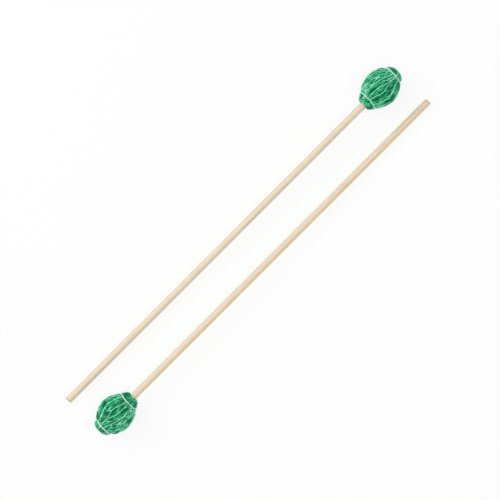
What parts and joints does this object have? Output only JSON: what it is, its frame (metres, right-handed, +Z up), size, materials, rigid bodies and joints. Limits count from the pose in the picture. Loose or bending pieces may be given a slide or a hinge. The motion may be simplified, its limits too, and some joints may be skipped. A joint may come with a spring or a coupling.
{
  "type": "keyboard mallet",
  "caption": "Pair of keyboard mallets, egg-shaped heads wound in green wool yarn on plain birch shafts, lying head to tail.",
  "frame": {"origin": "on the ground between the two mallets, under the centre of the pair's box", "axes": "+X along the shafts towards the first mallet's head, +Y towards the first mallet, +Z up"},
  "size_m": [0.422, 0.0724, 0.0333],
  "materials": {
    "birch": "sanded, clear satin lacquer",
    "rubber": "turned, matt",
    "packed_yarn": "wool yarn, packed",
    "yarn": "twisted wool yarn",
    "thread": "twisted sewing thread"
  },
  "bodies": {
    "first_mallet": {"first_shaft": "birch", "first_core": "rubber", "first_under_winding": "packed_yarn", "first_yarn_winding": "yarn", "first_crown_stitch": "thread", "first_base_stitch": "thread"},
    "second_mallet": {"second_shaft": "birch", "second_core": "rubber", "second_under_winding": "packed_yarn", "second_yarn_winding": "yarn", "second_crown_stitch": "thread", "second_base_stitch": "thread"}
  },
  "joints": [
    {"name": "second_mallet_lift", "type": "slide", "parent": "first_mallet", "child": "second_mallet", "axis": [0, 0, 1], "range_m": [0, 0.15]}
  ]
}
